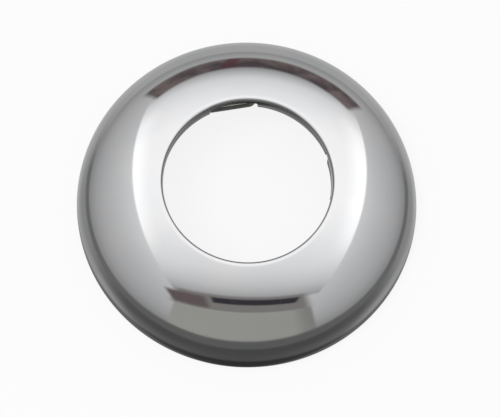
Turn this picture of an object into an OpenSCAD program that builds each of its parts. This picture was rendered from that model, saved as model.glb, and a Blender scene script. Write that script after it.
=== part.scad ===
// Tap rosette: a pressed cover plate for the place where a pipe leaves the wall.
// One domed sheet with a rolled lip and a turned-down collar, and a flat spring clip
// that lies behind the collar and reaches through two windows in it to grip the pipe.
// The base plane is z = 0, the axis of the hole is the Z axis, the dome points up.

/* [Dome] */
// Outside diameter over the foot of the dome
outer_d = 70; // [62:0.5:80]
// Height from the base plane to the top of the lip
height = 14.5; // [13:0.25:17]
// Thickness of the pressed sheet
sheet_t = 0.6; // [0.4:0.05:0.7]
// Outside radius of the tight curve that rises from the foot
foot_curve_r = 7.4; // [6.5:0.1:9]
// Direction that the dome faces where it meets the lip, in degrees above level
lip_slope = 72; // [66:1:78]

/* [Foot] */
// Outside radius of the bend that turns the foot inwards
hem_r = 0.9; // [0.8:0.05:1.2]
// Width of the flat ring that is turned in under the foot
hem_w = 1.3; // [0.8:0.1:3]

/* [Lip and collar] */
// Diameter of the hole at the straight land just under the lip
hole_d = 33.8; // [32:0.1:35]
// Outside radius of the rolled lip
lip_r = 0.9; // [0.8:0.05:1.2]
// Length of the straight land
land_h = 1; // [0.8:0.1:1.4]
// Height of the flared part of the collar below the land
flare_h = 2; // [1.8:0.05:3]
// How far the collar opens out over the flared part, at each side
flare = 0.3; // [0:0.05:0.5]

/* [Windows] */
// Direction of the clip's middle, turned from +X
clip_turn = 55.2; // [0:0.1:359]
// Turn from the clip's middle to the middle of each window
window_turn = 46.6; // [42:0.1:55]
// Width of a window
window_w = 9.9; // [9:0.1:11]
// Radius of a window's two upper corners
window_corner_r = 0.6; // [0.3:0.1:1]
// Part of the land that stays whole above the windows
window_bridge = 0.5; // [0.4:0.05:0.7]

/* [Clip] */
// Thickness of the spring strip
clip_t = 0.4; // [0.3:0.05:0.5]
// Height of the spring strip
clip_h = 2.3; // [1.6:0.1:2.3]
// Gap between the strip and the upper edge of the windows
clip_drop = 0.15; // [0.1:0.05:0.4]
// Gap between the collar and the bow of the clip behind it
bow_play = 0.1; // [0.05:0.05:0.3]
// How far the straight leg stands in from the land
straight_leg_in = 0.2; // [0.1:0.05:0.22]
// How far the curved leg stands in from the land
curved_leg_in = 0.1; // [0.05:0.05:0.22]
// Middle radius of the bend from the bow into a window
outer_bend_r = 0.6; // [0.5:0.05:0.8]
// Middle radius of the bend from a window into its leg
inner_bend_r = 1.6; // [1.2:0.1:2]
// Gap between the outer bend's centre and the near side of a window
bend_gap = 0.3; // [0.2:0.05:0.5]
// Gap between the tip of a leg and the far side of a window
tip_gap = 0.15; // [0.1:0.05:0.5]

/* [Hidden] */
$fn = 240;

// Heights and radii of the shell that follow from the sizes above
rim_r = outer_d / 2;
hole_r = hole_d / 2;
lip_z = height - lip_r;
lip_mid_r = hole_r + lip_r;
land_z = lip_z - land_h;
collar_z = land_z - flare_h;
collar_out_r = hole_r + flare + sheet_t;

// The dome is two arcs that touch without a corner: a tight one from the upright foot,
// then a wide one that runs into the lip in the chosen direction.
lip_dir = [cos(lip_slope), sin(lip_slope)];
foot_c = [rim_r - foot_curve_r, hem_r];
dome_end = [lip_mid_r, lip_z] + lip_r * lip_dir;
span = dome_end - foot_c;
dome_r = (span * span - foot_curve_r * foot_curve_r) / (2 * (span * lip_dir - foot_curve_r));
dome_c = dome_end - dome_r * lip_dir;
join_slope = atan2(foot_c.y - dome_c.y, foot_c.x - dome_c.x);

// Windows and clip
window_z = lip_z - window_bridge;
clip_z = window_z - clip_drop - clip_h;
bow_r = collar_out_r + bow_play + clip_t / 2;
outer_bend_at = bow_r - outer_bend_r;
bow_end = asin((window_w / 2 - bend_gap) / outer_bend_at);
bend_reach = outer_bend_r + inner_bend_r;
tip_y = window_w / 2 - tip_gap;
straight_leg_r = hole_r - straight_leg_in + clip_t / 2;
curved_leg_r = hole_r - curved_leg_in + clip_t / 2;
// Centre of the outer bend, in a frame with +X through the middle of a window
outer_bend_c = outer_bend_at * [cos(bow_end), -sin(bow_end)];

// Length by which one part of a section runs into the next, so that they are one piece
seam = 0.003;

// Flat wedge with its point at the origin, long enough to cut a ring of radius r
module wedge(r, from, to) {
    turns = [from, (2 * from + to) / 3, (from + 2 * to) / 3, to];
    polygon(concat([[0, 0]], [for (a = turns) 2 * r * [cos(a), sin(a)]]));
}

// Part of a flat ring between two directions, r is its outside radius.
// Each end runs on by lap.
module arc(r, t, from, to, lap = 0) {
    run_on = lap / r * 180 / PI;
    intersection() {
        difference() {
            circle(r);
            circle(r - t);
        }
        wedge(r, from - run_on, to + run_on);
    }
}

// Section of the pressed sheet on its right-hand side, X is the radius and Y the height
module sheet_section() {
    // Foot: flat ring and the bend up into the wall
    translate([rim_r - hem_r - hem_w, 0]) square([hem_w, sheet_t]);
    translate([rim_r - hem_r, hem_r]) arc(hem_r, sheet_t, -90, 0);
    // Dome
    translate(foot_c) arc(foot_curve_r, sheet_t, 0, join_slope);
    translate(dome_c) arc(dome_r, sheet_t, join_slope, lip_slope, seam);
    // Rolled lip
    translate([lip_mid_r, lip_z]) arc(lip_r, sheet_t, lip_slope, 180);
    // Land and flared collar
    polygon([
        [hole_r, lip_z], [hole_r, land_z], [hole_r + flare, collar_z],
        [collar_out_r, collar_z], [hole_r + sheet_t, land_z], [hole_r + sheet_t, lip_z]
    ]);
}

// Punch for one window: straight sides, two rounded upper corners, open at the bottom
module window_punch() {
    reach = collar_out_r + bow_play;
    below = 1;
    h = window_z - collar_z + below;
    translate([0, 0, collar_z - below]) rotate([90, 0, 90]) linear_extrude(reach) {
        translate([-window_w / 2, 0]) square([window_w, h - window_corner_r]);
        translate([-window_w / 2 + window_corner_r, 0])
            square([window_w - 2 * window_corner_r, h]);
        for (side = [-1, 1])
            translate([side * (window_w / 2 - window_corner_r), h - window_corner_r])
                circle(window_corner_r);
    }
}

module rosette_shell() {
    color("silver") difference() {
        rotate_extrude() sheet_section();
        for (side = [-1, 1]) rotate(clip_turn + side * window_turn) window_punch();
    }
}

// Leg that lies straight across its window
module straight_leg() {
    bend_c = [
        straight_leg_r + inner_bend_r,
        outer_bend_c.y + sqrt(pow(bend_reach, 2)
            - pow(straight_leg_r + inner_bend_r - outer_bend_c.x, 2))
    ];
    cross = bend_c - outer_bend_c;
    turn = atan2(cross.y, cross.x);
    translate(outer_bend_c) arc(outer_bend_r + clip_t / 2, clip_t, -bow_end, turn, seam);
    translate(bend_c) arc(inner_bend_r + clip_t / 2, clip_t, 180, 180 + turn);
    translate([straight_leg_r - clip_t / 2, bend_c.y - seam])
        square([clip_t, tip_y - bend_c.y + seam]);
}

// Leg that follows the curve of the hole
module curved_leg() {
    bend_at = curved_leg_r + inner_bend_r;
    // Turn between the centres of the two bends, by the cosine rule
    step = acos((pow(bend_at, 2) + pow(outer_bend_at, 2) - pow(bend_reach, 2))
        / (2 * bend_at * outer_bend_at));
    leg_start = step - bow_end;
    bend_c = bend_at * [cos(leg_start), sin(leg_start)];
    cross = bend_c - outer_bend_c;
    turn = atan2(cross.y, cross.x);
    translate(outer_bend_c) arc(outer_bend_r + clip_t / 2, clip_t, -bow_end, turn, seam);
    translate(bend_c)
        arc(inner_bend_r + clip_t / 2, clip_t, 180 + leg_start, 180 + turn);
    arc(curved_leg_r + clip_t / 2, clip_t, leg_start, asin(tip_y / curved_leg_r), seam);
}

module grip_clip() {
    half_bow = window_turn - bow_end;
    color("darkgray") translate([0, 0, clip_z]) rotate(clip_turn)
        linear_extrude(clip_h) {
            arc(bow_r + clip_t / 2, clip_t, -half_bow, half_bow);
            rotate(window_turn) straight_leg();
            mirror([0, 1]) rotate(window_turn) curved_leg();
        }
}

rosette_shell();
grip_clip();
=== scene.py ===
"""Tap rosette: the looks of a pressed, chrome-plated pipe cover and its spring clip.

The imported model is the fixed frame. The shell and the clip are made again here with a
finer surface, from the same sizes, and stand for the two nodes of the frame.
"""

import logging
import math
from dataclasses import dataclass
from enum import Enum
from typing import Any

import bmesh
import bpy
from mathutils import Matrix, Vector


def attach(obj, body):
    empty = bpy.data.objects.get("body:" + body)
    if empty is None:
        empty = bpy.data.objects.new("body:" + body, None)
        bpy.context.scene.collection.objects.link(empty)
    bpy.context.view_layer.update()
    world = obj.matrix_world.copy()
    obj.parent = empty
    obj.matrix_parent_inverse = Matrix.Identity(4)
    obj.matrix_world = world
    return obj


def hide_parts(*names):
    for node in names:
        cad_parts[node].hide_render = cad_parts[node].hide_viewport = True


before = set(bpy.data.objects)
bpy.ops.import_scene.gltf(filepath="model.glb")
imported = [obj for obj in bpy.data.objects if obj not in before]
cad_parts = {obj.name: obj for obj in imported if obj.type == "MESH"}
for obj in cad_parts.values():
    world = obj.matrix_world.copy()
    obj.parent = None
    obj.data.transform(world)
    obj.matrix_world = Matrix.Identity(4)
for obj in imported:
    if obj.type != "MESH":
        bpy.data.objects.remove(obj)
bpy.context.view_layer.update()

LOG = logging.getLogger("rosette")
MM = 0.001
Point = tuple[float, float]


def polar(radius: float, degrees: float, centre: Point = (0.0, 0.0)) -> Point:
    """Point at a radius and a direction from a centre.

    Args:
        radius: Distance from the centre.
        degrees: Direction, from the first axis towards the second.
        centre: The centre.

    Returns:
        The point.
    """
    turn = math.radians(degrees)
    return centre[0] + radius * math.cos(turn), centre[1] + radius * math.sin(turn)


def arc(centre: Point, radius: float, start: float, end: float, step: float) -> list[Point]:
    """Points along an arc, both ends included.

    Args:
        centre: Centre of the arc.
        radius: Its radius.
        start: First direction in degrees.
        end: Last direction in degrees.
        step: Widest turn from one point to the next in degrees.

    Returns:
        The points in order.
    """
    count = max(2, math.ceil(abs(end - start) / step))
    return [polar(radius, start + (end - start) * i / count, centre) for i in range(count + 1)]


def rounded(before: Point, corner: Point, after: Point, radius: float, count: int) -> list[Point]:
    """Rounds one corner of an outline.

    Args:
        before: A point on the edge that runs into the corner.
        corner: The corner.
        after: A point on the edge that leaves it.
        radius: Radius of the rounding.
        count: Number of edges that it is made of.

    Returns:
        The points that take the corner's place.
    """
    here = Vector(corner)
    back = (Vector(before) - here).normalized()
    ahead = (Vector(after) - here).normalized()
    half = back.angle(ahead) / 2
    middle = here + (back + ahead).normalized() * (radius / math.sin(half))
    first = here + back * (radius / math.tan(half)) - middle
    last = here + ahead * (radius / math.tan(half)) - middle
    points = []
    for i in range(count + 1):
        spoke = first.slerp(last, i / count)
        points.append(tuple(middle + spoke.normalized() * radius))
    return points


class Value:
    """A node's output that takes part in Python expressions."""

    def __init__(self, graph: "Graph", socket: bpy.types.NodeSocket) -> None:
        """Keeps the socket and the graph that new nodes go into."""
        self.graph = graph
        self.socket = socket

    def apply(self, operation: str, *operands: Any) -> "Value":
        """Adds a node for one operation.

        Args:
            operation: Name of the Math or Vector Math operation.
            operands: The operands in order, values or numbers.

        Returns:
            The result.
        """
        sockets = [o.socket for o in operands if isinstance(o, Value)]
        vector = any(s.type == "VECTOR" for s in sockets)
        kind = "ShaderNodeVectorMath" if vector else "ShaderNodeMath"
        if vector:
            operands = tuple(
                (o,) * 3 if isinstance(o, (int, float)) else o for o in operands
            )
        node = self.graph.add(kind, {"operation": operation}, dict(enumerate(operands)))
        return Value(self.graph, node.outputs[0])

    def __add__(self, other: Any) -> "Value":
        """Sum."""
        return self.apply("ADD", self, other)

    def __radd__(self, other: Any) -> "Value":
        """Sum with a number on the left."""
        return self.apply("ADD", other, self)

    def __sub__(self, other: Any) -> "Value":
        """Difference."""
        return self.apply("SUBTRACT", self, other)

    def __rsub__(self, other: Any) -> "Value":
        """Difference from a number on the left."""
        return self.apply("SUBTRACT", other, self)

    def __mul__(self, other: Any) -> "Value":
        """Product."""
        return self.apply("MULTIPLY", self, other)

    def __rmul__(self, other: Any) -> "Value":
        """Product with a number on the left."""
        return self.apply("MULTIPLY", other, self)

    def __truediv__(self, other: Any) -> "Value":
        """Quotient."""
        return self.apply("DIVIDE", self, other)

    def __pow__(self, other: Any) -> "Value":
        """Power."""
        return self.apply("POWER", self, other)

    def higher(self, other: Any) -> "Value":
        """The larger of this value and another."""
        return self.apply("MAXIMUM", self, other)

    def size(self) -> "Value":
        """Absolute value."""
        return self.apply("ABSOLUTE", self)


class Graph:
    """A node tree that is built by expressions and by one method for any other node."""

    def __init__(self, tree: bpy.types.NodeTree) -> None:
        """Keeps the tree, which starts empty."""
        self.tree = tree
        tree.nodes.clear()

    def add(
        self, kind: str, settings: dict[str, Any] | None = None, inputs: dict[Any, Any] | None = None
    ) -> bpy.types.Node:
        """Adds a node.

        Args:
            kind: The node's type.
            settings: Properties, set before the inputs. "stops" gives a ramp's stops.
            inputs: Values, sockets or lists of sockets by the input's name or number.

        Returns:
            The new node.
        """
        node = self.tree.nodes.new(kind)
        for name, value in (settings or {}).items():
            if name == "stops":
                self._set_stops(node.color_ramp, value)
            else:
                setattr(node, name, value)
        for name, value in (inputs or {}).items():
            for one in value if isinstance(value, list) else [value]:
                source = one.socket if isinstance(one, Value) else one
                if isinstance(source, bpy.types.NodeSocket):
                    self.tree.links.new(source, node.inputs[name])
                else:
                    node.inputs[name].default_value = source
        return node

    def _set_stops(self, ramp: bpy.types.ColorRamp, stops: list[tuple[float, Any]]) -> None:
        """Gives a ramp its stops.

        Args:
            ramp: The ramp.
            stops: Places from 0 to 1, each with a grey or a colour.
        """
        while len(ramp.elements) > 1:
            ramp.elements.remove(ramp.elements[-1])
        for i, (place, tone) in enumerate(stops):
            element = ramp.elements[0] if i == 0 else ramp.elements.new(place)
            element.position = place
            element.color = (*((tone,) * 3 if isinstance(tone, float) else tone), 1.0)

    def value(self, kind: str, output: Any = 0, **parts: dict[Any, Any]) -> Value:
        """Adds a node and gives one of its outputs.

        Args:
            kind: The node's type.
            output: Name or number of the output.
            parts: settings and inputs, as add takes them.

        Returns:
            The output.
        """
        return Value(self, self.add(kind, **parts).outputs[output])

    def step(self, value: Any, edge: float, width: float) -> Value:
        """Soft step from 0 to 1 as a value passes an edge.

        Args:
            value: The value.
            edge: Middle of the step.
            width: Its width; a negative width makes it fall from 1 to 0.

        Returns:
            The step.
        """
        return self.value(
            "ShaderNodeMapRange",
            settings={"interpolation_type": "SMOOTHSTEP"},
            inputs={"Value": value, "From Min": edge - width / 2, "From Max": edge + width / 2},
        )

    def between(self, value: Any, low: Any, high: Any, soft: float) -> Value:
        """1 between two soft edges and 0 outside them.

        Args:
            value: The value.
            low: Lower edge.
            high: Upper edge.
            soft: Width of the edges.

        Returns:
            The mask.
        """
        return self.step(value, low, soft) * self.step(value, high, -soft)

    def along(self, value: Any, points: list[tuple[float, float]]) -> Value:
        """Number that follows a value along straight lines between points.

        Args:
            value: The value.
            points: Pairs of the value and the number there, in rising order.

        Returns:
            The number.
        """
        first, last = points[0][0], points[-1][0]
        place = self.value(
            "ShaderNodeMapRange", inputs={"Value": value, "From Min": first, "From Max": last}
        )
        top = max(number for _, number in points)
        stops = [((at - first) / (last - first), number / top) for at, number in points]
        ramp = self.value("ShaderNodeValToRGB", settings={"stops": stops}, inputs={0: place})
        return ramp * top

    def mix(self, factor: Any, low: Any, high: Any) -> Value:
        """Mixes two colours.

        Args:
            factor: Share of the second colour.
            low: First colour, a value or three numbers.
            high: Second colour.

        Returns:
            The mixed colour.
        """
        colours = [c if isinstance(c, Value) else (*c, 1.0) for c in (low, high)]
        return self.value(
            "ShaderNodeMix",
            output=2,
            settings={"data_type": "RGBA"},
            inputs={0: factor, 6: colours[0], 7: colours[1]},
        )


class Slot(Enum):
    """Material slots of the record."""

    CHROME = "chrome_plate"
    SPRING = "spring_steel"


def new_material(name: str) -> tuple[bpy.types.Material, Graph]:
    """Makes an empty node material.

    Args:
        name: Its name.

    Returns:
        The material and its graph.
    """
    material = bpy.data.materials.new(name)
    material.use_nodes = True
    return material, Graph(material.node_tree)


@dataclass(frozen=True)
class ChromeFinish:
    """Bright chrome over polished nickel on the show side, thin plating on a dull press skin inside."""

    bright: tuple[float, float, float] = (0.60, 0.60, 0.605)
    cool: tuple[float, float, float] = (0.575, 0.58, 0.59)
    inside: tuple[float, float, float] = (0.40, 0.395, 0.38)
    inside_stain: tuple[float, float, float] = (0.30, 0.29, 0.27)
    gloss: float = 0.035
    haze: float = 0.03
    inside_rough: float = 0.30
    ripple: float = 2.4e-6
    ripple_per_m: float = 260.0

    def material(self) -> bpy.types.Material:
        """Builds the material.

        Returns:
            The material. It reads Object coordinates and the attribute "polish".
        """
        material, graph = new_material("chrome_plate")
        place = graph.value("ShaderNodeTexCoord", output="Object")
        polish = graph.value(
            "ShaderNodeAttribute", output="Fac", settings={"attribute_name": "polish"}
        )
        polish = graph.step(polish, 0.5, 0.2)
        cloud = graph.value("ShaderNodeTexNoise", inputs={"Vector": place, "Scale": 70.0, "Detail": 3.0})
        grain = graph.value(
            "ShaderNodeTexNoise", inputs={"Vector": place, "Scale": 2600.0, "Detail": 2.0}
        )
        show = graph.mix(graph.step(cloud, 0.5, 0.3), self.bright, self.cool)
        stain = graph.mix(graph.step(cloud, 0.55, 0.2), self.inside, self.inside_stain)
        colour = graph.mix(polish, stain, show)
        scratch = self._scratches(graph, place)
        show_rough = self.gloss + self.haze * grain * cloud + 0.05 * scratch
        inside_rough = self.inside_rough + 0.12 * grain
        rough = inside_rough + (show_rough - inside_rough) * polish
        peel = graph.value(
            "ShaderNodeTexNoise",
            inputs={"Vector": place, "Scale": self.ripple_per_m, "Detail": 1.0, "Roughness": 0.4},
        )
        drawn = self._drawing_lines(graph, place)
        height = peel * self.ripple + (1 - polish) * (drawn * 8e-6 + grain * 5e-6) - scratch * 2e-7
        bump = graph.value(
            "ShaderNodeBump", inputs={"Strength": 1.0, "Distance": 1.0, "Height": height}
        )
        shader = graph.add(
            "ShaderNodeBsdfPrincipled",
            inputs={"Base Color": colour, "Metallic": 1.0, "Roughness": rough, "Normal": bump},
        )
        graph.add("ShaderNodeOutputMaterial", inputs={"Surface": shader.outputs[0]})
        return material

    def _scratches(self, graph: Graph, place: Value) -> Value:
        """Hairlines left by wiping.

        Args:
            graph: The material's graph.
            place: Object coordinates.

        Returns:
            A mask of thin, broken lines.
        """
        bent = graph.value("ShaderNodeTexNoise", inputs={"Vector": place, "Scale": 45.0})
        cells = graph.value(
            "ShaderNodeTexVoronoi",
            settings={"feature": "DISTANCE_TO_EDGE"},
            inputs={"Vector": place + bent * 0.004, "Scale": 210.0},
        )
        broken = graph.value("ShaderNodeTexNoise", inputs={"Vector": place, "Scale": 330.0})
        return graph.step(cells, 0.006, -0.008) * graph.step(broken, 0.56, 0.08)

    def _drawing_lines(self, graph: Graph, place: Value) -> Value:
        """Upright lines that the press tool leaves on the inner side.

        Args:
            graph: The material's graph.
            place: Object coordinates.

        Returns:
            Height of the lines from 0 to 1.
        """
        axes = graph.add("ShaderNodeSeparateXYZ", inputs={0: place})
        x, y, z = (Value(graph, axes.outputs[i]) for i in range(3))
        turn = x.apply("ARCTAN2", y, x)
        wrapped = graph.value("ShaderNodeCombineXYZ", inputs={0: turn * 40, 1: z * 90, 2: 0.0})
        return graph.value("ShaderNodeTexNoise", inputs={"Vector": wrapped, "Scale": 1.0, "Detail": 2.0})


@dataclass(frozen=True)
class SpringFinish:
    """Cold-rolled spring strip with fine lines along its length."""

    light: tuple[float, float, float] = (0.50, 0.49, 0.455)
    dark: tuple[float, float, float] = (0.40, 0.395, 0.36)
    rough: float = 0.20
    line_depth: float = 1.5e-6

    def material(self) -> bpy.types.Material:
        """Builds the material.

        Returns:
            The material. It reads Object coordinates.
        """
        material, graph = new_material("spring_steel")
        place = graph.value("ShaderNodeTexCoord", output="Object")
        stretched = graph.value(
            "ShaderNodeMapping", inputs={"Vector": place, "Scale": (160.0, 160.0, 9000.0)}
        )
        lines = graph.value("ShaderNodeTexNoise", inputs={"Vector": stretched, "Scale": 1.0, "Detail": 3.0})
        cloud = graph.value("ShaderNodeTexNoise", inputs={"Vector": place, "Scale": 400.0, "Detail": 2.0})
        colour = graph.mix(graph.step(lines * 0.6 + cloud * 0.4, 0.5, 0.3), self.light, self.dark)
        rough = self.rough + 0.16 * lines + 0.06 * cloud
        bump = graph.value(
            "ShaderNodeBump",
            inputs={"Strength": 1.0, "Distance": 1.0, "Height": lines * self.line_depth},
        )
        shader = graph.add(
            "ShaderNodeBsdfPrincipled",
            inputs={"Base Color": colour, "Metallic": 1.0, "Roughness": rough, "Normal": bump},
        )
        graph.add("ShaderNodeOutputMaterial", inputs={"Surface": shader.outputs[0]})
        return material


class Form(Graph):
    """A Geometry Nodes tree with named inputs that turns an outline into a finished piece."""

    def __init__(self, name: str, sizes: dict[str, tuple[str, Any]]) -> None:
        """Makes the tree.

        Args:
            name: The tree's name.
            sizes: Socket type and value of each named input.
        """
        super().__init__(bpy.data.node_groups.new(name, "GeometryNodeTree"))
        face = self.tree.interface
        face.new_socket("Outline", in_out="INPUT", socket_type="NodeSocketGeometry")
        face.new_socket("Piece", in_out="OUTPUT", socket_type="NodeSocketGeometry")
        self.values: dict[str, Any] = {}
        for title, (kind, value) in sizes.items():
            socket = face.new_socket(title, in_out="INPUT", socket_type=kind)
            self.values[socket.identifier] = value
        self.source = self.add("NodeGroupInput")

    def given(self, title: str) -> Value:
        """A named input of the tree."""
        return Value(self, self.source.outputs[title])

    def finish(self, mesh: Value, sharp: float) -> None:
        """Shades the mesh, gives it its material and ends the tree.

        Args:
            mesh: The mesh.
            sharp: Angle in radians from which an edge counts as sharp.
        """
        smooth = self.value("GeometryNodeSetShadeSmooth", inputs={"Geometry": mesh})
        angle = self.value("GeometryNodeInputMeshEdgeAngle")
        crisp = self.value(
            "FunctionNodeCompare",
            settings={"operation": "GREATER_THAN", "data_type": "FLOAT"},
            inputs={0: angle, 1: sharp},
        )
        edged = self.value(
            "GeometryNodeSetShadeSmooth",
            settings={"domain": "EDGE"},
            inputs={"Geometry": smooth, "Selection": crisp, "Shade Smooth": False},
        )
        real = self.value("GeometryNodeRealizeInstances", inputs={"Geometry": edged})
        dressed = self.value(
            "GeometryNodeSetMaterial", inputs={"Geometry": real, "Material": self.given("Finish")}
        )
        self.add("NodeGroupOutput", inputs={"Piece": dressed})

    def make(self, name: str, outline: bpy.types.Mesh) -> bpy.types.Object:
        """Runs the tree on an outline.

        Args:
            name: Name of the piece.
            outline: The mesh that the tree starts from.

        Returns:
            The piece as a plain mesh at the origin.
        """
        carrier = bpy.data.objects.new(name + "_outline", outline)
        bpy.context.scene.collection.objects.link(carrier)
        modifier = carrier.modifiers.new("form", "NODES")
        modifier.node_group = self.tree
        for identifier, value in self.values.items():
            modifier[identifier] = value
        graph = bpy.context.evaluated_depsgraph_get()
        mesh = bpy.data.meshes.new_from_object(carrier.evaluated_get(graph), depsgraph=graph)
        carrier.modifiers.clear()
        bpy.data.objects.remove(carrier)
        mesh.name = name
        piece = bpy.data.objects.new(name, mesh)
        bpy.context.scene.collection.objects.link(piece)
        LOG.info("%s: %d vertices, %d faces", name, len(mesh.vertices), len(mesh.polygons))
        return piece


def outline_mesh(name: str, points: list[tuple[float, float, float]], closed: bool) -> bpy.types.Mesh:
    """Makes a chain of edges.

    Args:
        name: The mesh's name.
        points: Points in metres.
        closed: Whether the last point joins the first.

    Returns:
        The mesh.
    """
    edges = [(i, i + 1) for i in range(len(points) - 1)]
    if closed:
        edges.append((len(points) - 1, 0))
    mesh = bpy.data.meshes.new(name)
    mesh.from_pydata(points, edges, [])
    return mesh


@dataclass
class Shell:
    """The pressed sheet: dome, foot, rolled lip and collar with two windows. Sizes in mm."""

    outer_d: float = 70.0
    height: float = 14.5
    sheet_t: float = 0.6
    foot_curve_r: float = 7.4
    lip_slope: float = 72.0
    hem_r: float = 0.9
    hem_w: float = 1.3
    hole_d: float = 33.8
    lip_r: float = 0.9
    land_h: float = 1.0
    flare_h: float = 2.0
    flare: float = 0.3
    clip_turn: float = 55.2
    window_turn: float = 46.6
    window_w: float = 9.9
    window_corner_r: float = 0.6
    window_bridge: float = 0.5
    edge_r: float = 0.12
    rail_r: float = 25.0
    turns: int = 400

    @property
    def hole_r(self) -> float:
        """Radius of the hole at the land."""
        return self.hole_d / 2

    @property
    def lip_z(self) -> float:
        """Height of the lip's centre."""
        return self.height - self.lip_r

    @property
    def collar_z(self) -> float:
        """Height of the collar's lower edge."""
        return self.lip_z - self.land_h - self.flare_h

    @property
    def collar_out_r(self) -> float:
        """Outside radius of the collar's lower edge."""
        return self.hole_r + self.flare + self.sheet_t

    @property
    def window_z(self) -> float:
        """Height of the upper edge of the windows."""
        return self.lip_z - self.window_bridge

    def section(self) -> tuple[list[Point], list[float]]:
        """The sheet's section, radius and height in mm, once round it.

        Returns:
            The points, and for each 1 on the polished side and 0 inside.
        """
        slope = math.radians(self.lip_slope)
        lip_dir = Vector((math.cos(slope), math.sin(slope)))
        foot_c = Vector((self.outer_d / 2 - self.foot_curve_r, self.hem_r))
        lip_c = (self.hole_r + self.lip_r, self.lip_z)
        dome_end = Vector(lip_c) + self.lip_r * lip_dir
        span = dome_end - foot_c
        dome_r = (span.dot(span) - self.foot_curve_r**2) / (
            2 * (span.dot(lip_dir) - self.foot_curve_r)
        )
        dome_c = dome_end - dome_r * lip_dir
        join = math.degrees(math.atan2(*(foot_c - dome_c).yx))
        hem_c = (self.outer_d / 2 - self.hem_r, self.hem_r)
        land_z = self.lip_z - self.land_h
        hem_in = hem_c[0] - self.hem_w
        t = self.sheet_t

        def skin(inset: float) -> list[Point]:
            """The curved run from the foot to the land, inset from the outer side."""
            return (
                arc(hem_c, self.hem_r - inset, -90, 0, 9)
                + arc(tuple(foot_c), self.foot_curve_r - inset, 0, join, 2)[1:]
                + arc(tuple(dome_c), dome_r - inset, join, self.lip_slope, 0.8)[1:]
                + arc(lip_c, self.lip_r - inset, self.lip_slope, 180, 4.5)[1:]
            )

        foot_low, foot_high = (hem_in, 0.0), (hem_in, t)
        edge_in = (self.hole_r + self.flare, self.collar_z)
        edge_out = (self.collar_out_r, self.collar_z)
        bend_in = (self.hole_r, land_z)
        bend_out = (self.hole_r + t, land_z)
        show = skin(0.0)
        inner = skin(t)[::-1]
        outer_side = (
            rounded(foot_high, foot_low, hem_c[:1] + (0.0,), self.edge_r, 4)
            + show
            + rounded(show[-1], bend_in, edge_in, 2.0, 5)
            + rounded(bend_in, edge_in, edge_out, self.edge_r, 4)
        )
        inner_side = (
            rounded(edge_in, edge_out, bend_out, self.edge_r, 4)
            + rounded(edge_out, bend_out, inner[0], 2.0, 5)
            + inner
            + rounded(inner[-1], foot_high, foot_low, self.edge_r, 4)
        )
        polish = [1.0] * len(outer_side) + [0.0] * len(inner_side)
        return outer_side + inner_side, polish

    def build(self, finish: bpy.types.Material) -> bpy.types.Object:
        """Turns the section round the axis and punches the two windows.

        Args:
            finish: The shell's material.

        Returns:
            The piece.
        """
        section, polish = self.section()
        points = [((r - self.rail_r) * MM, -z * MM, 0.0) for r, z in section]
        outline = outline_mesh("shell_section", points, closed=True)
        outline.attributes.new("polish", "FLOAT", "POINT").data.foreach_set("value", polish)
        length, count, angle = "NodeSocketFloat", "NodeSocketInt", "NodeSocketFloat"
        below = 1.0
        form = Form(
            "shell_form",
            {
                "Turns": (count, self.turns),
                "Rail radius": (length, self.rail_r * MM),
                "Clip turn": (angle, math.radians(self.clip_turn)),
                "Window turn": (angle, math.radians(self.window_turn)),
                "Window width": (length, self.window_w * MM),
                "Window top": (length, self.window_z * MM),
                "Window bottom": (length, (self.collar_z - below) * MM),
                "Window corner": (length, self.window_corner_r * MM),
                "Punch start": (length, (self.hole_r - 4) * MM),
                "Punch end": (length, (self.collar_out_r + 0.1) * MM),
                "Finish": ("NodeSocketMaterial", finish),
            },
        )
        rail = form.value(
            "GeometryNodeCurvePrimitiveCircle",
            inputs={"Resolution": form.given("Turns"), "Radius": form.given("Rail radius")},
        )
        sheet = form.value("GeometryNodeMeshToCurve", inputs={"Mesh": form.given("Outline")})
        turned = form.value(
            "GeometryNodeCurveToMesh", inputs={"Curve": rail, "Profile Curve": sheet}
        )
        top, bottom = form.given("Window top"), form.given("Window bottom")
        window = form.value(
            "GeometryNodeFilletCurve",
            settings={"mode": "POLY"},
            inputs={
                "Curve": form.value(
                    "GeometryNodeCurvePrimitiveQuadrilateral",
                    inputs={"Width": form.given("Window width"), "Height": top - bottom},
                ),
                "Count": 8,
                "Radius": form.given("Window corner"),
            },
        )
        middle = (top + bottom) * 0.5
        way = form.value(
            "GeometryNodeCurvePrimitiveLine",
            inputs={
                "Start": form.value(
                    "ShaderNodeCombineXYZ", inputs={0: form.given("Punch start"), 2: middle}
                ),
                "End": form.value(
                    "ShaderNodeCombineXYZ", inputs={0: form.given("Punch end"), 2: middle}
                ),
            },
        )
        punch = form.value(
            "GeometryNodeCurveToMesh",
            inputs={"Curve": way, "Profile Curve": window, "Fill Caps": True},
        )
        punches = []
        for side in (-1, 1):
            turn = form.given("Clip turn") + form.given("Window turn") * side
            turned_by = form.value("ShaderNodeCombineXYZ", inputs={2: turn})
            punches.append(
                form.value(
                    "GeometryNodeTransform", inputs={"Geometry": punch, "Rotation": turned_by}
                )
            )
        open_mesh = form.value(
            "GeometryNodeMeshBoolean",
            settings={"operation": "DIFFERENCE", "solver": "EXACT"},
            inputs={"Mesh 1": turned, "Mesh 2": punches},
        )
        form.finish(open_mesh, math.radians(32))
        piece = form.make("shell_skin", outline)
        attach(piece, "root")
        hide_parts("rosette_shell")
        return piece


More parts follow.
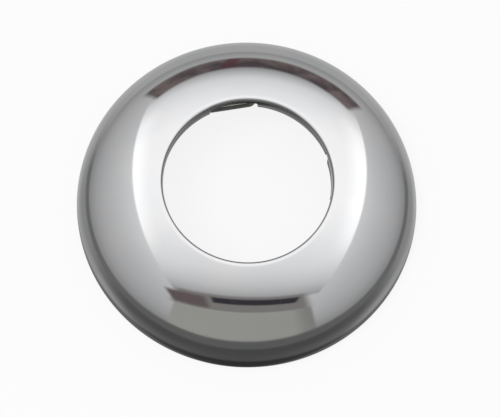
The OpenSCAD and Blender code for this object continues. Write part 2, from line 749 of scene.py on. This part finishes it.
@dataclass
class Clip:
    """The spring strip behind the collar, with a straight and a curved leg. Sizes in mm."""

    shell: Shell
    strip_t: float = 0.4
    strip_h: float = 2.3
    drop: float = 0.15
    bow_play: float = 0.1
    straight_leg_in: float = 0.2
    curved_leg_in: float = 0.1
    outer_bend_r: float = 0.6
    inner_bend_r: float = 1.6
    bend_gap: float = 0.3
    tip_gap: float = 0.15
    edge_r: float = 0.1

    @property
    def middle_z(self) -> float:
        """Height of the strip's middle line."""
        return self.shell.window_z - self.drop - self.strip_h / 2

    def _leg(self, straight: bool) -> tuple[list[Point], float]:
        """Middle line of one leg in the frame of its window.

        Args:
            straight: Whether the leg is the straight one.

        Returns:
            The points from the bow to the tip, and the turn in degrees from the window's middle to
            the end of the bow.
        """
        half_w = self.shell.window_w / 2
        bow_r = self.shell.collar_out_r + self.bow_play + self.strip_t / 2
        outer_at = bow_r - self.outer_bend_r
        bow_end = math.degrees(math.asin((half_w - self.bend_gap) / outer_at))
        reach = self.outer_bend_r + self.inner_bend_r
        tip_y = half_w - self.tip_gap
        outer_c = polar(outer_at, -bow_end)
        if straight:
            leg_r = self.shell.hole_r - self.straight_leg_in + self.strip_t / 2
            across = leg_r + self.inner_bend_r
            inner_c = (across, outer_c[1] + math.sqrt(reach**2 - (across - outer_c[0]) ** 2))
            start = 0.0
            leg = [(leg_r, inner_c[1] + (tip_y - inner_c[1]) * i / 6) for i in range(1, 7)]
        else:
            leg_r = self.shell.hole_r - self.curved_leg_in + self.strip_t / 2
            at = leg_r + self.inner_bend_r
            between = math.acos((at**2 + outer_at**2 - reach**2) / (2 * at * outer_at))
            start = math.degrees(between) - bow_end
            inner_c = polar(at, start)
            leg = arc((0.0, 0.0), leg_r, start, math.degrees(math.asin(tip_y / leg_r)), 1.5)[1:]
        turn = math.degrees(math.atan2(inner_c[1] - outer_c[1], inner_c[0] - outer_c[0]))
        points = (
            arc(outer_c, self.outer_bend_r, -bow_end, turn, 8)[1:]
            + arc(inner_c, self.inner_bend_r, 180 + turn, 180 + start, 4)[1:]
            + leg
        )
        return points, bow_end

    def path(self) -> list[Point]:
        """Middle line of the whole strip, from the tip of the straight leg to that of the curved one."""
        straight, bow_end = self._leg(True)
        curved, _ = self._leg(False)
        window = self.shell.window_turn
        half_bow = window - bow_end
        bow_r = self.shell.collar_out_r + self.bow_play + self.strip_t / 2

        def turned(point: Point, degrees: float) -> Point:
            """The point turned round the axis."""
            return polar(math.hypot(*point), math.degrees(math.atan2(point[1], point[0])) + degrees)

        one = [turned(p, window) for p in straight][::-1]
        other = [turned((x, -y), -window) for x, y in curved]
        chain = one + arc((0.0, 0.0), bow_r, half_bow, -half_bow, 1.5) + other
        return [turned(p, self.shell.clip_turn) for p in chain]

    def build(self, finish: bpy.types.Material) -> bpy.types.Object:
        """Runs the strip along its middle line.

        Args:
            finish: The strip's material.

        Returns:
            The piece.
        """
        points = [(x * MM, y * MM, self.middle_z * MM) for x, y in self.path()]
        form = Form(
            "clip_form",
            {
                "Thickness": ("NodeSocketFloat", self.strip_t * MM),
                "Height": ("NodeSocketFloat", self.strip_h * MM),
                "Edge radius": ("NodeSocketFloat", self.edge_r * MM),
                "Finish": ("NodeSocketMaterial", finish),
            },
        )
        way = form.value("GeometryNodeMeshToCurve", inputs={"Mesh": form.given("Outline")})
        strip = form.value(
            "GeometryNodeFilletCurve",
            settings={"mode": "POLY"},
            inputs={
                "Curve": form.value(
                    "GeometryNodeCurvePrimitiveQuadrilateral",
                    inputs={"Width": form.given("Thickness"), "Height": form.given("Height")},
                ),
                "Count": 4,
                "Radius": form.given("Edge radius"),
            },
        )
        mesh = form.value(
            "GeometryNodeCurveToMesh",
            inputs={"Curve": way, "Profile Curve": strip, "Fill Caps": True},
        )
        form.finish(mesh, math.radians(40))
        piece = form.make("clip_strip", outline_mesh("clip_path", points, closed=False))
        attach(piece, "root")
        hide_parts("grip_clip")
        return piece


def radiance(tone: float, mirror: float) -> float:
    """Brightness that a mirror of a given strength shows as a tone of 0 to 255.

    Args:
        tone: The tone as it reads in the picture.
        mirror: Share of the light that the mirror gives back.

    Returns:
        The brightness.
    """
    share = tone / 255
    linear = share / 12.92 if share <= 0.04045 else ((share + 0.055) / 1.055) ** 2.4
    return linear / mirror


@dataclass
class Tent:
    """Light tent round the object, seen only in the metal. Its axis leans away from the viewer."""

    radius: float = 4.0
    lean: float = 17.0
    mirror: float = 0.60

    def tone(self, value: float) -> float:
        """Brightness for a tone, as radiance gives it."""
        return radiance(value, self.mirror)

    def colour(self, *rgb: float) -> tuple[float, float, float]:
        """Colour for three tones."""
        return tuple(self.tone(v) for v in rgb)

    def tones(self, *points: Point) -> list[Point]:
        """Brightness along a line, from pairs of a place and a tone."""
        return [(place, self.tone(value)) for place, value in points]

    def build(self) -> bpy.types.Object:
        """Makes the tent.

        Returns:
            The sphere.
        """
        mesh = bpy.data.meshes.new("tent")
        sphere = bpy.data.objects.new("tent", mesh)
        bpy.context.scene.collection.objects.link(sphere)
        cage = bmesh.new()
        bmesh.ops.create_uvsphere(cage, u_segments=96, v_segments=48, radius=self.radius)
        cage.to_mesh(mesh)
        cage.free()
        mesh.materials.append(self._material())
        for ray in ("camera", "diffuse", "shadow", "transmission", "volume_scatter"):
            setattr(sphere, "visible_" + ray, False)
        return sphere

    def _material(self) -> bpy.types.Material:
        """Builds the tent's cloth, roof light and openings by direction."""
        material, graph = new_material("tent_cloth")
        place = graph.value("ShaderNodeTexCoord", output="Object")
        axes = graph.add("ShaderNodeSeparateXYZ", inputs={0: place / self.radius})
        x, y, z = (Value(graph, axes.outputs[i]) for i in range(3))
        lean = math.radians(self.lean)
        far = y * math.cos(lean) - z * math.sin(lean)
        up = z * math.cos(lean) + y * math.sin(lean)
        above = up.higher(0.02)
        u, v = x / above, far / above
        turn = far.apply("ARCTAN2", far, x) * (180 / math.pi)
        ahead = far / (x * x + far * far).higher(1e-6) ** 0.5

        # Cloth walls, lighter towards the roof, cooler on the left
        wall_tone = graph.along(
            up,
            self.tones((0.2, 138), (0.26, 155), (0.34, 168), (0.41, 176), (0.5, 187), (0.62, 204)),
        )
        tint = graph.mix(graph.step(x, 0.0, 1.2), (0.985, 0.965, 1.01), (1.0, 0.97, 0.97))
        colour = tint * wall_tone
        colour = self._roof(graph, colour, u, v)
        colour = self._far_opening(graph, colour, turn, up, u)
        colour = self._near_wall(graph, colour, u, v, turn)
        colour = self._below(graph, colour, up, ahead, x)
        light = graph.value("ShaderNodeEmission", inputs={"Color": colour, "Strength": 1.0})
        graph.add("ShaderNodeOutputMaterial", inputs={"Surface": light})
        material.cycles.emission_sampling = "NONE"
        return material

    def _roof(self, graph: Graph, under: Value, u: Value, v: Value) -> Value:
        """Adds the bright roof cloth."""
        sides = graph.step(u + v * 0.09, -1.21, 0.05) * graph.step(u - v * 0.07, 1.31, -0.05)
        ends = graph.between(v, -1.42, 2.4, 0.1)
        along = graph.along(
            v,
            self.tones(
                (-1.4, 150), (-1.1, 190), (-0.8, 214), (-0.3, 238), (0.0, 246), (0.6, 242), (1.0, 228),
                (1.4, 210), (1.6, 188), (1.8, 165), (2.0, 138), (2.3, 88),
            ),
        )
        rim = graph.step(u.size(), 1.02, 0.4) * graph.between(v, -0.6, 1.15, 0.5) * 0.18
        roof = graph.mix(0.5, (0.97, 0.965, 1.0), (0.99, 0.975, 1.02)) * (along * (1 + rim))
        return graph.mix(sides * ends, under, roof)

    def _far_opening(self, graph: Graph, under: Value, turn: Value, up: Value, u: Value) -> Value:
        """Adds the dark opening at the far side."""
        mask = graph.between(turn, 51.5, 126.5, 3.0) * graph.between(up, 0.292, 0.44, 0.035)
        place = graph.value("ShaderNodeCombineXYZ", inputs={0: turn * 0.12, 1: up * 6})
        noise = graph.value(
            "ShaderNodeTexNoise", inputs={"Vector": place, "Scale": 1.0, "Detail": 3.0}
        )
        dark = graph.mix(graph.step(noise, 0.5, 0.35), self.colour(70, 63, 65), self.colour(104, 94, 92))
        maroon = graph.between(u, -0.42, -0.2, 0.1)
        dark = graph.mix(maroon * 0.7, dark, self.colour(82, 52, 56))
        return graph.mix(mask, under, dark)

    def _near_wall(self, graph: Graph, under: Value, u: Value, v: Value, turn: Value) -> Value:
        """Adds the near wall and the dark strip above it."""
        band = graph.between(v, -1.95, -1.36, 0.08) * graph.between(turn, -126.0, -56.0, 6.0)
        colour = graph.mix(band, under, self.colour(117, 114, 112))
        strip = graph.between(v, -1.62, -1.44, 0.04) * graph.between(u, -0.45, 0.85, 0.08)
        colour = graph.mix(strip, colour, self.colour(50, 47, 52))
        blob = graph.between(v, -1.85, -1.45, 0.12) * graph.between(u, -1.3, -0.55, 0.15)
        colour = graph.mix(blob, colour, self.colour(92, 82, 82))
        wall = graph.step(v, -1.92, -0.06) * graph.between(turn, -124.5, -55.5, 2.0)
        side = graph.step(turn, -62.0, 10.0)
        tone = graph.mix(side, self.colour(143, 143, 138), self.colour(124, 124, 120))
        return graph.mix(wall, colour, tone)

    def _below(self, graph: Graph, under: Value, up: Value, ahead: Value, x: Value) -> Value:
        """Adds the grey table, light at the far side and dark at the near side, with the object's own
        shadow painted in straight below it.
        """
        high = graph.along(
            ahead,
            self.tones(
                (-1.0, 88), (-0.7, 92), (-0.4, 100), (0.0, 100), (0.4, 104), (0.66, 146), (0.85, 155),
                (1.0, 155),
            ),
        )
        low = graph.along(
            ahead,
            self.tones(
                (-1.0, 70), (-0.8, 72), (-0.5, 84), (-0.2, 112), (0.0, 128), (0.45, 134), (0.66, 154),
                (0.85, 160), (1.0, 160),
            ),
        )
        deep = graph.along(
            ahead,
            self.tones(
                (-1.0, 74), (-0.8, 84), (-0.5, 100), (-0.2, 138), (0.0, 143), (0.45, 146), (0.7, 160),
                (1.0, 162),
            ),
        )
        tone = high + (low - high) * graph.step(up, 0.0, -0.16)
        tone = tone + (deep - tone) * graph.step(up, -0.42, -0.36)
        # Painted shadow: the table darkens towards straight below, standing in for the object's own shadow
        # on it.
        shadow_below = graph.step(up, -0.76, -0.16)
        tone = tone * (1 - 0.62 * shadow_below)
        tint = graph.mix(graph.step(ahead, 0.2, 0.8), (1.0, 0.985, 0.94), (1.0, 1.0, 1.01))
        return graph.mix(graph.step(up, 0.182, -0.03), under, tint * tone)


@dataclass
class Studio:
    """Pale floor, even light and one large soft lamp."""

    floor_half: float = 3.0
    floor_tone: float = 0.86
    open_share: float = 0.86

    def build(self) -> None:
        """Makes the floor, the world and the lamp."""
        self._floor()
        self._world()
        self._lamp()

    def _seen(self, graph: Graph) -> Value:
        """1 for the rays that show the background: from the camera, in metal and through glass."""
        rays = graph.add("ShaderNodeLightPath")
        camera, glossy, through = (
            Value(graph, rays.outputs[name])
            for name in ("Is Camera Ray", "Is Glossy Ray", "Is Transmission Ray")
        )
        return camera.higher(glossy).higher(through)

    def _floor(self) -> None:
        """Makes the floor at the base plane."""
        half = self.floor_half
        corners = [(-half, -half, 0), (half, -half, 0), (half, half, 0), (-half, half, 0)]
        mesh = bpy.data.meshes.new("floor")
        mesh.from_pydata(corners, [], [(0, 1, 2, 3)])
        floor = bpy.data.objects.new("floor", mesh)
        bpy.context.scene.collection.objects.link(floor)
        material, graph = new_material("floor_paper")
        paper = graph.value(
            "ShaderNodeBsdfDiffuse", inputs={"Color": (*(self.floor_tone,) * 3, 1.0)}
        )
        light = graph.value("ShaderNodeEmission", inputs={"Color": (1, 1, 1, 1), "Strength": 1.0})
        shader = graph.value(
            "ShaderNodeMixShader",
            inputs={0: self._seen(graph) * self.open_share, 1: paper, 2: light},
        )
        graph.add("ShaderNodeOutputMaterial", inputs={"Surface": shader})
        material.cycles.emission_sampling = "NONE"
        mesh.materials.append(material)
        floor.visible_glossy = False

    def _world(self) -> None:
        """Makes an even pale surrounding."""
        world = bpy.data.worlds.new("studio")
        bpy.context.scene.world = world
        world.use_nodes = True
        graph = Graph(world.node_tree)
        tone = graph.mix(self._seen(graph), (0.72, 0.72, 0.72), (1.0, 1.0, 1.0))
        light = graph.value("ShaderNodeBackground", inputs={"Color": tone, "Strength": 1.0})
        graph.add("ShaderNodeOutputWorld", inputs={"Surface": light})

    def _lamp(self) -> None:
        """Makes the soft lamp above and to the left."""
        data = bpy.data.lights.new("soft_lamp", "AREA")
        data.shape = "DISK"
        data.size = 0.7
        data.energy = 4.5
        lamp = bpy.data.objects.new("soft_lamp", data)
        lamp.location = (-0.5, -0.2, 1.1)
        lamp.rotation_euler = (-lamp.location).to_track_quat("-Z", "Y").to_euler()
        lamp.visible_glossy = False
        bpy.context.scene.collection.objects.link(lamp)


@dataclass
class Viewpoint:
    """The camera, at the place from which the object is seen. Lengths in metres."""

    distance: float = 0.35
    elevation: float = 71.524
    roll: float = 2.29
    lens: float = 121.74
    shift_x: float = 0.0066
    shift_y: float = -0.01168

    def build(self) -> bpy.types.Object:
        """Makes the camera and makes it the scene's.

        Returns:
            The camera.
        """
        data = bpy.data.cameras.new("viewpoint")
        data.sensor_width = 36.0
        data.sensor_fit = "HORIZONTAL"
        data.lens = self.lens
        data.shift_x, data.shift_y = self.shift_x, self.shift_y
        data.clip_start, data.clip_end = 0.01, 20.0
        camera = bpy.data.objects.new("viewpoint", data)
        high, roll = math.radians(self.elevation), math.radians(self.roll)
        back = Vector((0, -math.cos(high), math.sin(high)))
        level = Vector((0, math.sin(high), math.cos(high)))
        right = Vector((math.cos(roll), 0, 0)) + level * math.sin(roll)
        up = back.cross(right)
        camera.matrix_world = Matrix.Translation(back * self.distance) @ Matrix(
            (right, up, back)
        ).transposed().to_4x4()
        bpy.context.scene.collection.objects.link(camera)
        bpy.context.scene.camera = camera
        return camera


def main() -> None:
    """Builds the camera, the pieces and the studio."""
    logging.basicConfig(level=logging.INFO, format="%(message)s")
    bpy.context.scene.view_settings.view_transform = "Standard"
    Viewpoint().build()
    shell = Shell()
    shell.build(ChromeFinish().material())
    Clip(shell).build(SpringFinish().material())
    Tent().build()
    Studio().build()


if __name__ == "__main__":
    main()
